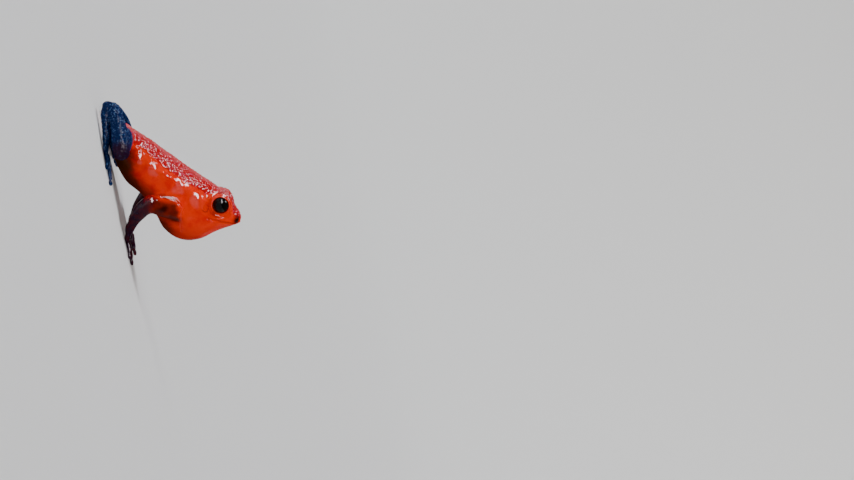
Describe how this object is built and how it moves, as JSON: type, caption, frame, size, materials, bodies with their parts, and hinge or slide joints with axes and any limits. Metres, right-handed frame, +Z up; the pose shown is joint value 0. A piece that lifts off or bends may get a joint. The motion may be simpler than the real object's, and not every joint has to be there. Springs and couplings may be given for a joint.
{
  "type": "strawberry poison dart frog",
  "caption": "Life-size still frog sitting with its chest raised on straight arms, head held high, hind legs folded at its sides.",
  "frame": {"origin": "on the floor, under the centre of the frog's bounding box", "axes": "+X forward along the frog, from rump to snout; +Y towards its left side; +Z up from the floor"},
  "size_m": [0.0236, 0.0205, 0.0163],
  "materials": {
    "red_skin": "wet, finely granular skin, red to orange",
    "purple_skin": "damp dark purple skin",
    "blue_skin": "granular dark blue skin with pale specks",
    "eye": "polished black"
  },
  "bodies": {
    "root": {"torso": "red_skin", "head": "red_skin", "eye_left": "eye", "eye_right": "eye", "upper_arm_left": "red_skin", "upper_arm_right": "red_skin", "forearm_left": "purple_skin", "forearm_right": "purple_skin", "hand_left": "purple_skin", "hand_right": "purple_skin", "thigh_left": "blue_skin", "thigh_right": "blue_skin", "shank_left": "blue_skin", "shank_right": "blue_skin", "tarsus_left": "blue_skin", "tarsus_right": "blue_skin", "foot_left": "blue_skin", "foot_right": "blue_skin"}
  },
  "joints": []
}
